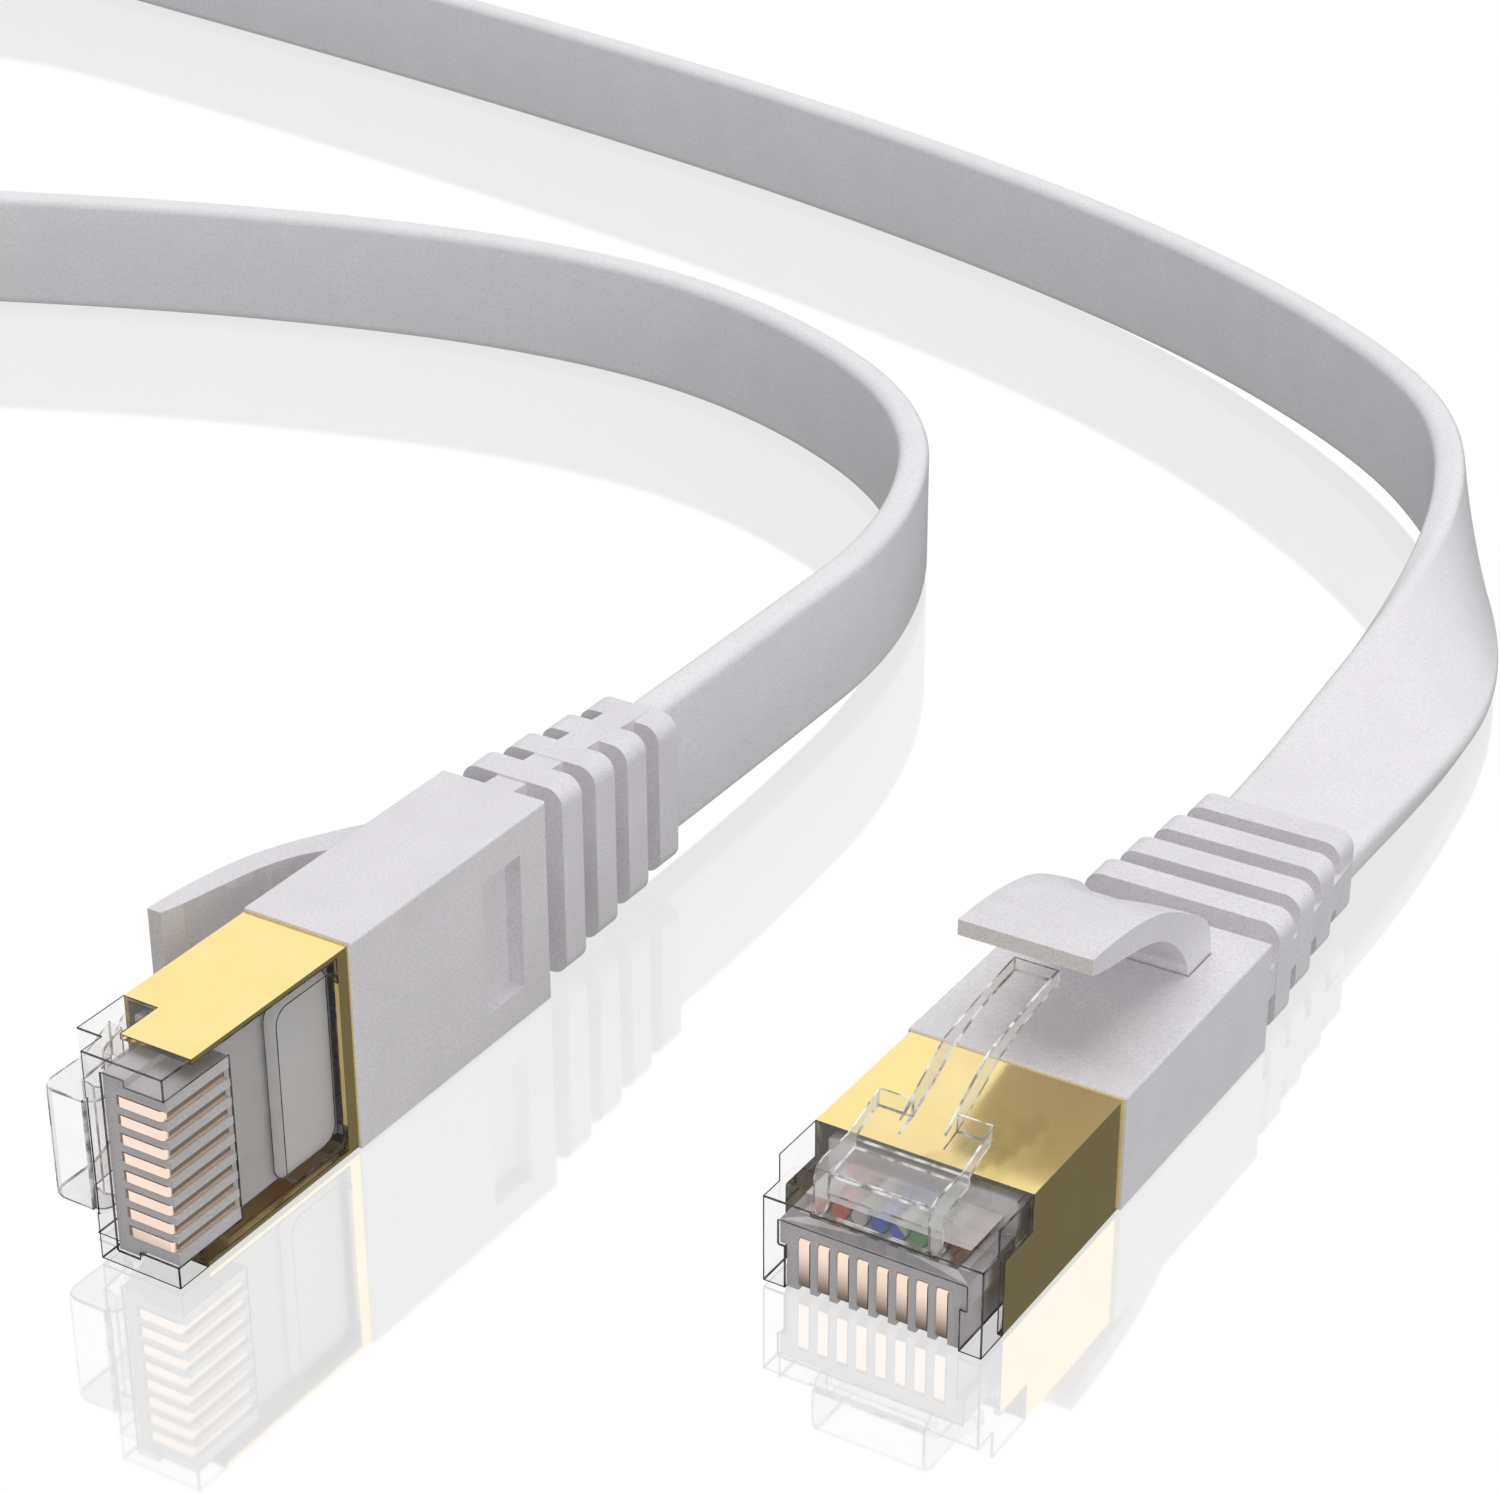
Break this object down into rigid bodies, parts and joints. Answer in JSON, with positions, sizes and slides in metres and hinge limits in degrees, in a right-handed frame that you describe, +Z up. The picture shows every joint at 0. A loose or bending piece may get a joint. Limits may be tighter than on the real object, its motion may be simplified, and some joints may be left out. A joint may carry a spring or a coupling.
{
  "type": "ethernet patch cable",
  "caption": "Flat patch cable with a clear modular plug, metal shield, ribbed boot and latch guard at each end.",
  "frame": {"origin": "centre of the footprint of the two plugs, on the surface that they lie on", "axes": "-Y the way both noses point, +Z up, +X from the plug on its side to the plug on its face"},
  "size_m": [0.2575, 0.1648, 0.0134],
  "materials": {
    "gold_plated_metal": "gold plated, satin",
    "contact_metal": "gold plated, polished",
    "clear_plastic": "clear, glossy",
    "comb_plastic": "satin",
    "boot_plastic": "fine matte texture",
    "cable_jacket": "smooth matte",
    "tie_fabric": "woven",
    "wire_white_orange": "smooth",
    "wire_orange": "smooth",
    "wire_white_green": "smooth",
    "wire_blue": "smooth",
    "wire_white_blue": "smooth",
    "wire_green": "smooth",
    "wire_white_brown": "smooth",
    "wire_brown": "smooth"
  },
  "bodies": {
    "cable": {"shield_a": "gold_plated_metal", "housing_a": "clear_plastic", "comb_a": "comb_plastic", "wire_insert_a": "clear_plastic", "jacket_end_a": "cable_jacket", "boot_a": "boot_plastic", "contact_a_1": "contact_metal", "wire_a_white_orange": "wire_white_orange", "contact_a_2": "contact_metal", "wire_a_orange": "wire_orange", "contact_a_3": "contact_metal", "wire_a_white_green": "wire_white_green", "contact_a_4": "contact_metal", "wire_a_blue": "wire_blue", "contact_a_5": "contact_metal", "wire_a_white_blue": "wire_white_blue", "contact_a_6": "contact_metal", "wire_a_green": "wire_green", "contact_a_7": "contact_metal", "wire_a_white_brown": "wire_white_brown", "contact_a_8": "contact_metal", "wire_a_brown": "wire_brown", "shield_b": "gold_plated_metal", "housing_b": "clear_plastic", "comb_b": "comb_plastic", "wire_insert_b": "clear_plastic", "jacket_end_b": "cable_jacket", "boot_b": "boot_plastic", "contact_b_1": "contact_metal", "wire_b_white_orange": "wire_white_orange", "contact_b_2": "contact_metal", "wire_b_orange": "wire_orange", "contact_b_3": "contact_metal", "wire_b_white_green": "wire_white_green", "contact_b_4": "contact_metal", "wire_b_blue": "wire_blue", "contact_b_5": "contact_metal", "wire_b_white_blue": "wire_white_blue", "contact_b_6": "contact_metal", "wire_b_green": "wire_green", "contact_b_7": "contact_metal", "wire_b_white_brown": "wire_white_brown", "contact_b_8": "contact_metal", "wire_b_brown": "wire_brown", "cable_lead_a": "cable_jacket", "cable_lead_b": "cable_jacket", "cable_coil": "cable_jacket", "coil_tie": "tie_fabric"},
    "latch_a": {"latch_a": "clear_plastic"},
    "latch_b": {"latch_b": "clear_plastic"},
    "tongue_a": {"tongue_a": "boot_plastic"},
    "tongue_b": {"tongue_b": "boot_plastic"}
  },
  "joints": [
    {"name": "tongue_a_press", "type": "hinge", "parent": "cable", "child": "tongue_a", "pos_m": [-0.01774, -0.0029, 0.006], "axis": [0, 0, 1], "range_deg": [0, 16], "stiffness_Nm_per_rad": 0.12},
    {"name": "latch_a_release", "type": "hinge", "parent": "cable", "child": "latch_a", "pos_m": [-0.01579, -0.02903, 0.006], "axis": [0, 0, -1], "range_deg": [0, 12]},
    {"name": "tongue_b_press", "type": "hinge", "parent": "cable", "child": "tongue_b", "pos_m": [0.018, 0.0121, 0.00705], "axis": [1, 0, 0], "range_deg": [0, 16], "stiffness_Nm_per_rad": 0.12},
    {"name": "latch_b_release", "type": "hinge", "parent": "cable", "child": "latch_b", "pos_m": [0.018, -0.01403, 0.0051], "axis": [-1, 0, 0], "range_deg": [0, 12]}
  ],
  "couplings": [
    {"joint": "latch_a_release", "follows": "tongue_a_press", "ratio": 0.75},
    {"joint": "latch_b_release", "follows": "tongue_b_press", "ratio": 0.75}
  ]
}
